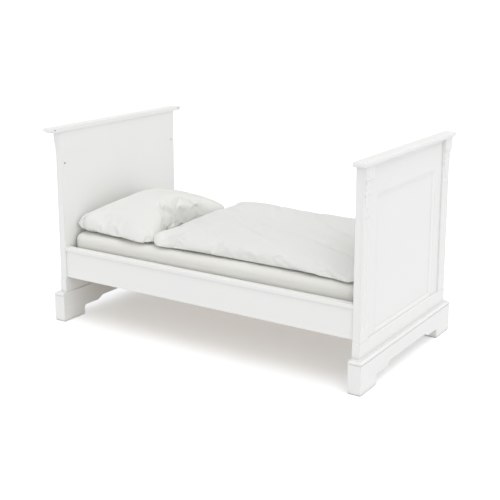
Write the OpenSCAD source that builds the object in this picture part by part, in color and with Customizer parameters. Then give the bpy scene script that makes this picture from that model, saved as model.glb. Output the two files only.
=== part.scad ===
// Toddler bed: two panelled ends with caps, fluted pilasters and bracket feet, two low side
// rails, a slatted base, a mattress, a pillow and a duvet.
// X runs from the head end to the foot end, Y from the front side to the back side, Z up.
// The origin lies on the floor under the middle of the bed.

/* [Mattress and bedding] */
// Mattress length
mattress_l = 1400; // [1150:10:1700]
// Mattress width
mattress_w = 700; // [580:10:850]
// Mattress thickness
mattress_h = 120; // [90:5:140]
// Gap between each end of the mattress and the end panel
mattress_end_gap = 5; // [3:1:20]
// Gap between each side of the mattress and the cap strip of the side rail
mattress_side_gap = 12; // [3:1:25]
// Height of the mattress top above the side rails
mattress_above_rail = 60; // [40:5:90]
// Pillow length, across the bed
pillow_l = 600; // [450:10:680]
// Pillow width, along the bed
pillow_w = 413; // [300:10:450]
// Pillow thickness
pillow_h = 130; // [60:5:150]
// Distance of the pillow from the front edge of the mattress
pillow_from_front = 5; // [2:1:40]
// Distance of the pillow and of the duvet from the end panels
bedding_end_gap = 7; // [5:1:30]
// Thickness of the folded duvet
duvet_h = 88; // [40:2:120]
// Gap between the pillow and the duvet
pillow_duvet_gap = 5; // [2:1:60]
// Inset of the duvet's folded sides from the sides of the mattress
duvet_side_inset = 5; // [2:1:60]

/* [Side rails] */
// Height of the top of the side rails above the floor
rail_top = 335; // [300:5:420]
// Height of a side rail, cap strip included
rail_h = 135; // [120:5:160]
// Thickness of the rail board
rail_board_t = 22; // [18:1:30]
// Depth of the rail's cap strip
rail_strip_d = 31.5; // [28:0.5:45]
// Thickness of the rail's cap strip
rail_strip_t = 16; // [10:1:24]
// Overhang of the cap strip past the outer face of the rail board
rail_strip_lip = 5; // [1:0.5:6]
// Inset of the rail's cap strip from the side of the end panels
rail_inset = 1.5; // [0.5:0.5:8]

/* [Slatted base] */
// Number of slats
slat_count = 13; // [8:1:15]
// Width of a slat
slat_w = 60; // [40:5:70]
// Thickness of a slat
slat_t = 16; // [12:1:20]
// Gap between the end of a slat and the rail board
slat_end_gap = 2; // [1:1:6]
// Height of the ledgers that carry the slats
ledger_h = 28; // [20:1:30]
// Thickness of the ledgers
ledger_t = 22; // [16:1:30]
// Width of the webbing tapes that space the slats
tape_w = 30; // [20:1:50]
// Thickness of the webbing tapes
tape_t = 1.2; // [0.8:0.1:2]

/* [End panels] */
// Height of the top of the end caps above the floor
end_h = 866; // [750:2:1000]
// Thickness of the stiles and cross rails
frame_t = 25; // [20:1:32]
// Width of each stile
stile_w = 127; // [110:1:150]
// Height of the cross rail under the cap
top_rail_h = 118; // [90:2:150]
// Thickness of the centre panel
panel_t = 18; // [9:1:18]
// Depth to which the centre panel sits in its rebate
rebate_w = 10; // [6:1:14]
// Width of the moulding around the centre panel
bead_w = 18; // [8:1:22]
// Height of the moulding above the centre panel
bead_t = 6.5; // [3:0.5:9]
// Diameter of the holes for the cot sides
side_hole_d = 8; // [6:0.5:9]
// Depth of the holes for the cot sides
side_hole_depth = 18; // [12:1:18]
// Height of the holes for the cot sides
side_hole_z = 708; // [600:2:720]
// Distance of the holes for the cot sides from the side of the end panel
side_hole_edge = 20; // [14:1:30]

/* [Caps] */
// Thickness of the caps
cap_t = 20; // [16:1:26]
// Projection of the caps past the outer face of the end panel
cap_out = 24; // [20:1:24]
// Projection of the caps past the inner face of the end panel
cap_in = 4; // [1:0.5:4]
// Overhang of the head cap past each side of the end panel
head_cap_over = 53; // [40:1:70]
// Overhang of the foot cap past each side of the end panel
foot_cap_over = 24; // [15:1:60]
// Diameter of the sockets in the inner edge of the head cap
cap_hole_d = 7; // [5:0.5:8]
// Depth of the sockets in the inner edge of the head cap
cap_hole_depth = 20; // [12:1:25]
// Distance of those sockets from the end of the head cap
cap_hole_edge = 18; // [14:1:25]
// Height of the cove moulding under the cap
cornice_h = 16; // [10:1:22]
// Projection of the cove moulding under the cap
cornice_d = 15; // [8:1:16]

/* [Pilasters] */
// Width of the pilasters
pilaster_w = 64; // [54:1:72]
// Thickness of the pilasters
pilaster_t = 6.5; // [6:0.5:8]
// Width of a flute
flute_w = 20; // [12:1:22]
// Depth of a flute
flute_d = 5; // [2:0.5:5]
// Distance between the flutes' centres
flute_pitch = 26; // [24:1:30]
// Height of the flutes' lower ends above the floor
flute_bottom = 238; // [225:1:300]
// Height of the corbel blocks
corbel_block_h = 50; // [40:1:60]
// Projection of the corbel blocks past the pilaster
corbel_block_d = 10.5; // [9:0.5:10.5]
// Height of the hollow taper under a corbel block
corbel_taper_h = 55; // [40:1:65]
// Projection of the top of the taper past the pilaster
corbel_taper_d = 5.5; // [3:0.5:6]
// Height of the carved leaf, from its tip to the underside of the corbel block
leaf_h = 124; // [100:1:134]
// Width of the carved leaf
leaf_w = 54; // [36:1:58]
// Thickness of the carved leaf
leaf_t = 3; // [2:0.5:4]

/* [Base] */
// Height of the top of the base band above the floor
band_top = 192; // [185:1:198]
// Thickness of the base band
band_t = 6.5; // [5.5:0.5:8]
// Thickness of the base band's returns on the sides of the end panel
band_return_t = 3; // [2:0.5:5]
// Height of the top of the plinth moulding above the floor
plinth_top = 132; // [126:1:140]
// Height of the plinth moulding
plinth_mould_h = 16; // [12:1:20]
// Projection of the plinth past the end panel, on the outer face and on each side
plinth_out = 25; // [20:1:32]
// Projection of the plinth past the inner face of the end panel
plinth_in = 4; // [2:0.5:4.5]
// Width of each bracket foot on the floor
foot_w = 132; // [110:1:150]
// Height of the underside of the foot's ear above the floor
ear_z = 42; // [34:1:46]
// Length of each bracket foot with its ear
ear_l = 218; // [200:1:230]
// Height of the straight underside of the plinth above the floor
apron_z = 58; // [52:1:64]
// Length over which the ear sweeps up to the straight underside
sweep_l = 42; // [30:1:50]
// Height of the glides under the feet
glide_h = 4; // [3:1:10]
// Inset of the glides from the faces of the feet
glide_inset = 2; // [1:0.5:6]

/* [Fasteners] */
// Diameter of the studs that join the side rails to the ends
stud_d = 6; // [5:1:8]
// Length of the studs
stud_l = 64; // [58:1:75]
// Diameter of the barrel nuts in the side rails
nut_d = 14; // [12:1:15]
// Length of the barrel nuts
nut_l = 14; // [12:1:15]
// Distance of the barrel nuts from the end of the rail
nut_from_end = 38; // [30:1:42]
// Diameter of the threaded inserts in the stiles
insert_d = 12; // [10:1:13]
// Length of the threaded inserts
insert_l = 16; // [12:1:18]
// Diameter of the wooden dowels
dowel_d = 8; // [6:1:10]
// Length of the wooden dowels
dowel_l = 40; // [30:2:44]
// Diameter of the wood screws
screw_d = 4; // [3.5:0.5:5]
// Length of the wood screws
screw_l = 32; // [28:1:36]
// Clearance around fasteners in their holes
fit_gap = 0.15; // [0.1:0.05:0.3]

/* [Hidden] */

// The head end is the foot end mirrored, and the front side is the back side mirrored.
head = -1;
foot = 1;
front = -1;
back = 1;

$fn = 48;
cut = 1;
// Gap that a soft piece keeps from what it rests on
rest_gap = 0.3;
arc_steps = 8;

// Plan
bed_half_l = mattress_l / 2 + mattress_end_gap;
strip_in = mattress_w / 2 + mattress_side_gap;
strip_out = strip_in + rail_strip_d;
board_out = strip_out - rail_strip_lip;
board_in = board_out - rail_board_t;
board_mid = (board_in + board_out) / 2;
panel_half = strip_out + rail_inset;
opening_half = panel_half - stile_w;
plinth_half = panel_half + plinth_out;
pilaster_mid = panel_half - pilaster_w / 2;
side_hole_y = panel_half - side_hole_edge;

// Heights
cap_z = end_h - cap_t;
opening_top = cap_z - top_rail_h;
plinth_board_top = plinth_top - plinth_mould_h;
corbel_step_z = cap_z - corbel_block_h;
corbel_z = corbel_step_z - corbel_taper_h;
leaf_z = corbel_step_z - leaf_h;
flute_top = leaf_z - 8;
inner_plinth_top = plinth_top - 2;
rail_z = rail_top - rail_h;
board_top = rail_top - rail_strip_t;
mattress_top = rail_top + mattress_above_rail;
mattress_z = mattress_top - mattress_h;
tape_z = mattress_z - rest_gap - tape_t;
slat_z = tape_z - slat_t;
ledger_z = slat_z - ledger_h;
bedding_z = mattress_top + rest_gap;

// Fastener places
stud_heights = [rail_z + 14, board_top - 28];
rail_dowel_z = (stud_heights[0] + stud_heights[1]) / 2;
frame_dowel_heights = [
    plinth_board_top + 16, band_top - rebate_w - 14, opening_top + rebate_w + 22, cap_z - 31
];
base_dowel_y = panel_half - 45;
slat_pitch = (2 * bed_half_l - 30 - slat_w) / (slat_count - 1);
screwed_slats = [0, floor(slat_count / 2), slat_count - 1];
ledger_screw_count = 5;
ledger_screw_pitch = (2 * bed_half_l - 160) / (ledger_screw_count - 1);
screw_inset = 12;

// Edge shapes of the mouldings
cap_round = 5;
cap_cove = 5;
cap_fillet = 2;
strip_round = 3;
// Step of the corbel's lower edge off the pilaster
corbel_foot = 1.5;
foot_round = 12;

// Points of a quarter turn about a centre, from one angle to another
function arc(c, r, a0, a1) =
    [for (i = [0:arc_steps]) c + r * [cos(a0 + (a1 - a0) * i / arc_steps),
                                      sin(a0 + (a1 - a0) * i / arc_steps)]];

// Place children, drawn outward from the inner face of an end panel, at one end of the bed.
module at_end(side) {
    mirror([side < 0 ? 1 : 0, 0, 0]) translate([bed_half_l, 0, 0]) children();
}

// Place children, drawn on the back side, on one side of the bed.
module on_side(side) {
    mirror([0, side < 0 ? 1 : 0, 0]) children();
}

// Extrude a Y-Z outline along X, from x0 to x1.
module along_x(x0, x1) {
    translate([x0, 0, 0]) rotate([90, 0, 90]) linear_extrude(x1 - x0) children();
}

// Extrude an X-Z outline along Y, from -half to half.
module along_y(half) {
    rotate([90, 0, 0]) linear_extrude(2 * half, center = true) children();
}

// A dowel's or a drilled hole's cylinder along X, from x0 to x1
module rod_x(x0, x1, y, z, d) {
    translate([x0, y, z]) rotate([0, 90, 0]) cylinder(h = x1 - x0, d = d);
}

// The same along Y, from y0 to y1
module rod_y(y0, y1, x, z, d) {
    translate([x, y0, z]) rotate([-90, 0, 0]) cylinder(h = y1 - y0, d = d);
}

// ---- End panels ----

// Holes that the frame dowels need in a stile or cross rail
module frame_dowel_holes() {
    for (z = frame_dowel_heights)
        rod_y(opening_half - dowel_l / 2 - fit_gap, opening_half + dowel_l / 2 + fit_gap,
              frame_t / 2, z, dowel_d + 2 * fit_gap);
}

module cap_dowel_holes() {
    translate([frame_t / 2, opening_half + stile_w / 2, cap_z - dowel_l * 0.6])
        cylinder(h = dowel_l, d = dowel_d + 2 * fit_gap);
}

module base_dowel_holes() {
    translate([frame_t / 2, base_dowel_y, plinth_board_top - dowel_l / 2 - fit_gap])
        cylinder(h = dowel_l + 2 * fit_gap, d = dowel_d + 2 * fit_gap);
}

// The rebate in the inner face of the frame that holds the centre panel
module panel_rebate() {
    translate([-cut, -opening_half - rebate_w, band_top - rebate_w])
        cube([panel_t + cut, 2 * (opening_half + rebate_w),
              opening_top - band_top + 2 * rebate_w]);
}

module stile() {
    difference() {
        translate([0, opening_half, plinth_board_top])
            cube([frame_t, stile_w, cap_z - plinth_board_top]);
        panel_rebate();
        frame_dowel_holes();
        cap_dowel_holes();
        base_dowel_holes();
        rod_x(-cut, side_hole_depth, side_hole_y, side_hole_z, side_hole_d);
        for (z = stud_heights)
            rod_x(-cut, insert_l + fit_gap, board_mid, z, insert_d + 2 * fit_gap);
        rod_x(-cut, dowel_l / 2 + fit_gap, board_mid, rail_dowel_z, dowel_d + 2 * fit_gap);
    }
}

module cross_rail(z0, z1) {
    difference() {
        translate([0, -opening_half, z0]) cube([frame_t, 2 * opening_half, z1 - z0]);
        panel_rebate();
        for (side = [front, back]) on_side(side) frame_dowel_holes();
    }
}

module centre_panel() {
    translate([0, -opening_half - rebate_w, band_top - rebate_w])
        cube([panel_t, 2 * (opening_half + rebate_w), opening_top - band_top + 2 * rebate_w]);
}

// Outline of the panel moulding: width from the edge of the opening, height above the panel
module bead_outline() {
    lip = 1;
    steps = 2 * arc_steps;
    polygon(concat(
        [[0, 0], [bead_w, 0]],
        [for (i = [0:steps])
            [bead_w * (1 - i / steps), lip + (bead_t - lip) * (1 - cos(180 * i / steps)) / 2]]
    ));
}

// Four mitred strips around the opening, lying on the outer face of the centre panel
module panel_moulding() {
    mid_z = (band_top + opening_top) / 2;
    half_z = (opening_top - band_top) / 2;
    for (turn = [0:3]) {
        half_run = turn % 2 == 0 ? half_z : opening_half;
        half_off = turn % 2 == 0 ? opening_half : half_z;
        translate([panel_t, 0, mid_z]) rotate([90 * turn, 0, 0]) intersection() {
            translate([0, half_off, -half_run]) linear_extrude(2 * half_run)
                rotate(-90) bead_outline();
            along_x(0, bead_t) polygon([
                [half_off, -half_run], [half_off, half_run],
                [half_off - bead_w, half_run - bead_w], [half_off - bead_w, bead_w - half_run]
            ]);
        }
    }
}

// A round-ended hollow flute cut into a face that looks along +X
module flute(face_x, y, z0, z1, depth) {
    radius = (flute_w * flute_w / 4 + depth * depth) / (2 * depth);
    translate([face_x + radius - depth, y, z0]) {
        cylinder(h = z1 - z0, r = radius);
        sphere(r = radius);
        translate([0, 0, z1 - z0]) sphere(r = radius);
    }
}

module pilaster() {
    difference() {
        translate([frame_t, pilaster_mid - pilaster_w / 2, band_top])
            cube([pilaster_t, pilaster_w, cap_z - band_top]);
        for (side = [-1, 1])
            flute(frame_t + pilaster_t, pilaster_mid + side * flute_pitch / 2,
                  flute_bottom + flute_w / 2, flute_top - flute_w / 2, flute_d);
    }
}

// Face of the hollow taper under a corbel block, moved out by extra
function taper_face(extra) =
    [for (i = [0:arc_steps])
        let (s = i / arc_steps)
        [corbel_foot + (corbel_taper_d - corbel_foot) * pow(s, 2.2) + extra,
         corbel_z + s * corbel_taper_h]];

// Corbel outline: projection past the pilaster, height. A square block stands on the taper.
module corbel_outline() {
    nose = 3;
    polygon(concat(
        [[0, cap_z], [0, corbel_z]],
        taper_face(0),
        [[corbel_block_d - nose, corbel_step_z]],
        arc([corbel_block_d - nose, corbel_step_z + nose], nose, -90, 0),
        [[corbel_block_d, cap_z]]
    ));
}

module corbel() {
    block_flute_d = 4;
    block_margin = 9;
    difference() {
        translate([frame_t + pilaster_t, pilaster_mid, 0]) along_y(pilaster_w / 2)
            corbel_outline();
        for (side = [-1, 1])
            flute(frame_t + pilaster_t + corbel_block_d, pilaster_mid + side * flute_pitch / 2,
                  corbel_step_z + block_margin + 4, cap_z - block_margin - 4, block_flute_d);
    }
}

// Pointed leaf that lies on the taper and on the pilaster below it
module leaf() {
    radius = (leaf_h * leaf_h + leaf_w * leaf_w / 4) / leaf_w;
    face = taper_face(leaf_t);
    intersection() {
        translate([frame_t + pilaster_t, pilaster_mid, 0]) along_y(leaf_w) polygon(concat(
            [[0, leaf_z], [0, corbel_z]],
            taper_face(0),
            [for (i = [arc_steps:-1:0]) face[i]],
            [[leaf_t, corbel_z], [leaf_t, leaf_z]]
        ));
        translate([0, pilaster_mid, corbel_step_z])
            along_x(frame_t, frame_t + pilaster_t + corbel_block_d)
                intersection_for(side = [-1, 1])
                    translate([side * (radius - leaf_w / 2), 0]) circle(r = radius, $fn = 96);
    }
}

module leaf_carvings() {
    for (side = [front, back]) on_side(side) leaf();
}

// Cove strip under the cap, between the corbels
module cornice() {
    inner_half = panel_half - pilaster_w;
    lip = 3;
    foot_h = 2;
    cove = [for (i = [0:arc_steps])
        [cornice_d - (cornice_d - lip) * sin(90 * i / arc_steps),
         foot_h - cornice_h + (cornice_h - foot_h - lip) * cos(90 * i / arc_steps)]];
    translate([frame_t, 0, cap_z]) along_y(inner_half) polygon(concat(
        [[0, 0], [cornice_d, 0]],
        cove,
        [[lip, -cornice_h], [0, -cornice_h]]
    ));
}

// Outline of a moulded edge that ends at x: a rounded top, a face, and a cove underneath
function cap_edge(x) = concat(
    [[x - cap_cove - cap_fillet, 0]],
    arc([x - cap_fillet, 0], cap_cove, 180, 90),
    [[x, cap_cove]],
    arc([x - cap_round, cap_t - cap_round], cap_round, 0, 90)
);

// Board with moulded edges on its outer face and on both ends
module cap(over, sockets) {
    half = panel_half + over;
    inner_round = 1.5;
    back_edge = cap_edge(half);
    front_edge = [for (i = [len(back_edge) - 1:-1:0]) [-back_edge[i][0], back_edge[i][1]]];
    difference() {
        intersection() {
            translate([0, 0, cap_z]) along_y(half + cut) polygon(concat(
                cap_edge(frame_t + cap_out),
                [[inner_round - cap_in, cap_t], [-cap_in, cap_t - inner_round], [-cap_in, 0]]
            ));
            translate([0, 0, cap_z]) along_x(-cap_in - cut, frame_t + cap_out + cut)
                polygon(concat(back_edge, front_edge));
        }
        for (side = [front, back]) on_side(side) cap_dowel_holes();
        if (sockets)
            for (side = [front, back])
                rod_x(-cap_in - cut, cap_hole_depth - cap_in, side * (half - cap_hole_edge),
                      cap_z + cap_t / 2 + 1, cap_hole_d);
    }
}

// ---- Base of an end ----

// Plan of a strip that runs round the end panel, mitred at the corners.
// It gives the outer run, or the return on the back side.
module mitre_plan(depth_out, depth_side, is_return) {
    if (is_return)
        polygon([[0, panel_half], [frame_t, panel_half],
                 [frame_t + depth_out, panel_half + depth_side], [0, panel_half + depth_side]]);
    else
        polygon([[frame_t, -panel_half], [frame_t, panel_half],
                 [frame_t + depth_out, panel_half + depth_side],
                 [frame_t + depth_out, -panel_half - depth_side]]);
}

// Strips cut from an outline of projection and height, on three sides of an end panel
module base_strips(depth_out, depth_side, height) {
    intersection() {
        translate([frame_t, 0, 0]) along_y(panel_half + depth_side) children(0);
        linear_extrude(height) mitre_plan(depth_out, depth_side, false);
    }
    for (side = [front, back]) on_side(side) intersection() {
        along_x(0, frame_t + depth_out) translate([panel_half, 0]) children(1);
        linear_extrude(height) mitre_plan(depth_out, depth_side, true);
    }
}

module band_outline(depth) {
    arris = 2;
    polygon([[0, plinth_top], [depth, plinth_top], [depth, band_top - arris],
             [depth - arris, band_top], [0, band_top]]);
}

module base_band() {
    base_strips(band_t, band_return_t, end_h) {
        band_outline(band_t);
        band_outline(band_return_t);
    }
}

// A flat ledge, a small step, a rounded nose and a quirk above the plinth's straight face
module plinth_outline() {
    quirk = 2;
    nose_r = 7;
    ledge_w = plinth_out - nose_r - quirk;
    polygon(concat(
        [[0, plinth_board_top], [plinth_out - quirk, plinth_board_top],
         [plinth_out - quirk, plinth_board_top + quirk], [plinth_out, plinth_board_top + quirk]],
        arc([plinth_out - nose_r, plinth_top - quirk - nose_r], nose_r, 0, 90),
        [[ledge_w, plinth_top - quirk], [ledge_w, plinth_top], [0, plinth_top]]
    ));
}

module plinth_moulding() {
    base_strips(plinth_out, plinth_out, end_h) {
        plinth_outline();
        plinth_outline();
    }
}

// Edge of a bracket foot from the floor to the straight underside: its inner side, the ear
// and the sweep, as Y and Z on the back side
function bracket_edge() = concat(
    [[plinth_half - foot_w, glide_h]],
    arc([plinth_half - foot_w - foot_round, ear_z - foot_round], foot_round, 0, 90),
    [for (i = [0:arc_steps])
        [plinth_half - ear_l - sweep_l * i / arc_steps,
         ear_z + (apron_z - ear_z) * (1 - cos(180 * i / arc_steps)) / 2]]
);

// Outline of a board with a bracket foot at each end
module bracket_outline(top) {
    edge = bracket_edge();
    last = len(edge) - 1;
    polygon(concat(
        [[plinth_half, top], [plinth_half, glide_h]],
        edge,
        [for (i = [last:-1:0]) [-edge[i][0], edge[i][1]]],
        [[-plinth_half, glide_h], [-plinth_half, top]]
    ));
}

module plinth_board() {
    along_x(frame_t, frame_t + plinth_out) bracket_outline(plinth_board_top);
}

// Board that carries the end panel, with a lip that covers the panel's lower edge inside
module inner_plinth_board() {
    difference() {
        union() {
            along_x(0, frame_t) bracket_outline(plinth_board_top);
            along_x(-plinth_in, 0) bracket_outline(inner_plinth_top);
        }
        for (side = [front, back]) on_side(side) base_dowel_holes();
    }
}

module glides() {
    for (end = [head, foot], side = [front, back])
        at_end(end) on_side(side)
            translate([glide_inset - plinth_in, plinth_half - foot_w + glide_inset, 0])
                cube([plinth_in + frame_t + plinth_out - 2 * glide_inset,
                      foot_w - 2 * glide_inset, glide_h]);
}

// ---- Side rails ----

module rail_board() {
    difference() {
        translate([-bed_half_l, board_in, rail_z])
            cube([2 * bed_half_l, rail_board_t, board_top - rail_z]);
        for (end = [head, foot]) at_end(end) {
            for (z = stud_heights) {
                rod_x(insert_l - stud_l - fit_gap, cut, board_mid, z, stud_d + 2 * fit_gap);
                rod_y(board_in - cut, board_mid + nut_l / 2 + fit_gap, -nut_from_end, z,
                      nut_d + 2 * fit_gap);
            }
            rod_x(-dowel_l / 2 - fit_gap, cut, board_mid, rail_dowel_z,
                  dowel_d + 2 * fit_gap);
        }
        ledger_screw_holes();
    }
}

module rail_strip() {
    translate([0, strip_in, board_top]) along_x(-bed_half_l, bed_half_l) polygon(concat(
        [[0, 0], [rail_strip_d, 0]],
        arc([rail_strip_d - strip_round, rail_strip_t - strip_round], strip_round, 0, 90),
        arc([strip_round, rail_strip_t - strip_round], strip_round, 90, 180)
    ));
}

// ---- Slatted base ----

function ledger_screw_x(i) = 80 - bed_half_l + i * ledger_screw_pitch;

module ledger_screw_holes() {
    for (i = [0:ledger_screw_count - 1])
        rod_y(board_in - ledger_t - cut, board_in - ledger_t + screw_l + fit_gap,
              ledger_screw_x(i), ledger_z + ledger_h / 2, screw_d + 2 * fit_gap);
}

// Slat number i is centred at slat_x(i).
function slat_x(i) = 15 + slat_w / 2 - bed_half_l + i * slat_pitch;
slat_screw_y = board_in - ledger_t + screw_inset;

module slat_screw_holes() {
    for (i = screwed_slats)
        translate([slat_x(i) + slat_w / 4, slat_screw_y, slat_z + slat_t - screw_l - fit_gap])
            cylinder(h = screw_l + fit_gap + cut, d = screw_d + 2 * fit_gap);
}

module ledger() {
    difference() {
        translate([-bed_half_l, board_in - ledger_t, ledger_z])
            cube([2 * bed_half_l, ledger_t, ledger_h]);
        ledger_screw_holes();
        slat_screw_holes();
    }
}

module slats() {
    half = board_in - slat_end_gap;
    difference() {
        for (i = [0:slat_count - 1])
            translate([slat_x(i) - slat_w / 2, -half, slat_z])
                cube([slat_w, 2 * half, slat_t]);
        for (side = [front, back]) on_side(side) slat_screw_holes();
    }
}

module slat_tapes() {
    tape_y = slat_screw_y - 2 * tape_w;
    for (side = [front, back]) on_side(side)
        translate([slat_x(0) - slat_w / 2, tape_y, tape_z])
            cube([(slat_count - 1) * slat_pitch + slat_w, tape_w, tape_t]);
}

// ---- Fasteners ----

// Place children at every rail end, as on the back side of the foot end.
module at_rail_ends() {
    for (end = [head, foot], side = [front, back]) at_end(end) on_side(side) children();
}

module rail_studs() {
    at_rail_ends() for (z = stud_heights)
        rod_x(insert_l - stud_l, insert_l, board_mid, z, stud_d);
}

module barrel_nuts() {
    at_rail_ends() for (z = stud_heights) difference() {
        rod_y(board_mid - nut_l / 2, board_mid + nut_l / 2, -nut_from_end, z, nut_d);
        rod_x(-nut_from_end - nut_d, nut_d - nut_from_end, board_mid, z,
              stud_d + 2 * fit_gap);
    }
}

module rail_inserts() {
    at_rail_ends() for (z = stud_heights) difference() {
        rod_x(0, insert_l, board_mid, z, insert_d);
        rod_x(-cut, insert_l + cut, board_mid, z, stud_d + 2 * fit_gap);
    }
}

module rail_dowels() {
    at_rail_ends() rod_x(-dowel_l / 2, dowel_l / 2, board_mid, rail_dowel_z, dowel_d);
}

module frame_dowels() {
    at_rail_ends() for (z = frame_dowel_heights)
        rod_y(opening_half - dowel_l / 2, opening_half + dowel_l / 2, frame_t / 2, z, dowel_d);
}

module cap_dowels() {
    at_rail_ends()
        translate([frame_t / 2, opening_half + stile_w / 2,
                   cap_z - dowel_l * 0.6 + fit_gap])
            cylinder(h = dowel_l * 0.85, d = dowel_d);
}

module base_dowels() {
    at_rail_ends()
        translate([frame_t / 2, base_dowel_y, plinth_board_top - dowel_l / 2])
            cylinder(h = dowel_l, d = dowel_d);
}

module ledger_screws() {
    for (side = [front, back]) on_side(side)
        for (i = [0:ledger_screw_count - 1])
            rod_y(board_in - ledger_t, board_in - ledger_t + screw_l, ledger_screw_x(i),
                  ledger_z + ledger_h / 2, screw_d);
}

module slat_screws() {
    for (side = [front, back]) on_side(side)
        for (i = screwed_slats)
            translate([slat_x(i) + slat_w / 4, slat_screw_y, slat_z + slat_t - screw_l])
                cylinder(h = screw_l, d = screw_d);
}

// ---- Soft goods ----

// Rectangle from the first corner to the second, with round corners
module soft_outline(a, b, r) {
    polygon(concat(
        arc([a[0] + r, a[1] + r], r, 180, 270), arc([b[0] - r, a[1] + r], r, 270, 360),
        arc([b[0] - r, b[1] - r], r, 0, 90), arc([a[0] + r, b[1] - r], r, 90, 180)
    ));
}

// Slab with round edges along its long sides and round corners in plan
module soft_slab(low, high, edge, corner) {
    intersection() {
        along_x(low[0], high[0]) soft_outline([low[1], low[2]], [high[1], high[2]], edge);
        translate([0, 0, low[2]]) linear_extrude(high[2] - low[2])
            soft_outline([low[0], low[1]], [high[0], high[1]], corner);
    }
}

module mattress() {
    soft_slab([-mattress_l / 2, -mattress_w / 2, mattress_z],
              [mattress_l / 2, mattress_w / 2, mattress_top], 22, 30);
}

pillow_x = bedding_end_gap - bed_half_l;
pillow_y = pillow_from_front - mattress_w / 2;

module pillow() {
    edge = pillow_h * 0.45;
    intersection() {
        soft_slab([pillow_x, pillow_y, bedding_z],
                  [pillow_x + pillow_w, pillow_y + pillow_l, bedding_z + pillow_h], edge, 35);
        translate([0, pillow_y + pillow_l / 2, 0]) along_y(pillow_l / 2)
            soft_outline([pillow_x, bedding_z], [pillow_x + pillow_w, bedding_z + pillow_h],
                         edge);
    }
}

module duvet() {
    half_w = mattress_w / 2 - duvet_side_inset;
    soft_slab([pillow_x + pillow_w + pillow_duvet_gap, -half_w, bedding_z],
              [bed_half_l - bedding_end_gap, half_w, bedding_z + duvet_h],
              duvet_h * 0.45, 35);
}

// ---- Finishes ----

module white_paint() { color("#f4f4f1") children(); }
module bare_wood() { color("#d9bf94") children(); }
module steel() { color("#b4b7ba") children(); }
module linen() { color("#efeee6") children(); }
module grey_plastic() { color("#8f8f8c") children(); }

// ---- Sub-parts ----

module head_stile_front() { white_paint() at_end(head) on_side(front) stile(); }
module head_stile_back() { white_paint() at_end(head) on_side(back) stile(); }
module head_top_rail() { white_paint() at_end(head) cross_rail(opening_top, cap_z); }
module head_bottom_rail() { white_paint() at_end(head) cross_rail(plinth_board_top, band_top); }
module head_centre_panel() { white_paint() at_end(head) centre_panel(); }
module head_panel_moulding() { white_paint() at_end(head) panel_moulding(); }
module head_pilaster_front() { white_paint() at_end(head) on_side(front) pilaster(); }
module head_pilaster_back() { white_paint() at_end(head) on_side(back) pilaster(); }
module head_corbel_front() { white_paint() at_end(head) on_side(front) corbel(); }
module head_corbel_back() { white_paint() at_end(head) on_side(back) corbel(); }
module head_leaf_carvings() { white_paint() at_end(head) leaf_carvings(); }
module head_cornice() { white_paint() at_end(head) cornice(); }
module head_cap() { white_paint() at_end(head) cap(head_cap_over, true); }
module head_base_band() { white_paint() at_end(head) base_band(); }
module head_plinth_board() { white_paint() at_end(head) plinth_board(); }
module head_plinth_moulding() { white_paint() at_end(head) plinth_moulding(); }
module head_inner_plinth_board() { white_paint() at_end(head) inner_plinth_board(); }

module foot_stile_front() { white_paint() at_end(foot) on_side(front) stile(); }
module foot_stile_back() { white_paint() at_end(foot) on_side(back) stile(); }
module foot_top_rail() { white_paint() at_end(foot) cross_rail(opening_top, cap_z); }
module foot_bottom_rail() { white_paint() at_end(foot) cross_rail(plinth_board_top, band_top); }
module foot_centre_panel() { white_paint() at_end(foot) centre_panel(); }
module foot_panel_moulding() { white_paint() at_end(foot) panel_moulding(); }
module foot_pilaster_front() { white_paint() at_end(foot) on_side(front) pilaster(); }
module foot_pilaster_back() { white_paint() at_end(foot) on_side(back) pilaster(); }
module foot_corbel_front() { white_paint() at_end(foot) on_side(front) corbel(); }
module foot_corbel_back() { white_paint() at_end(foot) on_side(back) corbel(); }
module foot_leaf_carvings() { white_paint() at_end(foot) leaf_carvings(); }
module foot_cornice() { white_paint() at_end(foot) cornice(); }
module foot_cap() { white_paint() at_end(foot) cap(foot_cap_over, false); }
module foot_base_band() { white_paint() at_end(foot) base_band(); }
module foot_plinth_board() { white_paint() at_end(foot) plinth_board(); }
module foot_plinth_moulding() { white_paint() at_end(foot) plinth_moulding(); }
module foot_inner_plinth_board() { white_paint() at_end(foot) inner_plinth_board(); }

module front_rail() { white_paint() on_side(front) rail_board(); }
module back_rail() { white_paint() on_side(back) rail_board(); }
module front_rail_strip() { white_paint() on_side(front) rail_strip(); }
module back_rail_strip() { white_paint() on_side(back) rail_strip(); }
module front_ledger() { bare_wood() on_side(front) ledger(); }
module back_ledger() { bare_wood() on_side(back) ledger(); }

head_stile_front();
head_stile_back();
head_top_rail();
head_bottom_rail();
head_centre_panel();
head_panel_moulding();
head_pilaster_front();
head_pilaster_back();
head_corbel_front();
head_corbel_back();
head_leaf_carvings();
head_cornice();
head_cap();
head_base_band();
head_plinth_board();
head_plinth_moulding();
head_inner_plinth_board();
foot_stile_front();
foot_stile_back();
foot_top_rail();
foot_bottom_rail();
foot_centre_panel();
foot_panel_moulding();
foot_pilaster_front();
foot_pilaster_back();
foot_corbel_front();
foot_corbel_back();
foot_leaf_carvings();
foot_cornice();
foot_cap();
foot_base_band();
foot_plinth_board();
foot_plinth_moulding();
foot_inner_plinth_board();
grey_plastic() glides();
front_rail();
back_rail();
front_rail_strip();
back_rail_strip();
front_ledger();
back_ledger();
bare_wood() slats();
linen() slat_tapes();
steel() rail_studs();
steel() barrel_nuts();
steel() rail_inserts();
bare_wood() rail_dowels();
bare_wood() frame_dowels();
bare_wood() cap_dowels();
bare_wood() base_dowels();
steel() ledger_screws();
steel() slat_screws();
linen() mattress();
linen() pillow();
linen() duvet();
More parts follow.
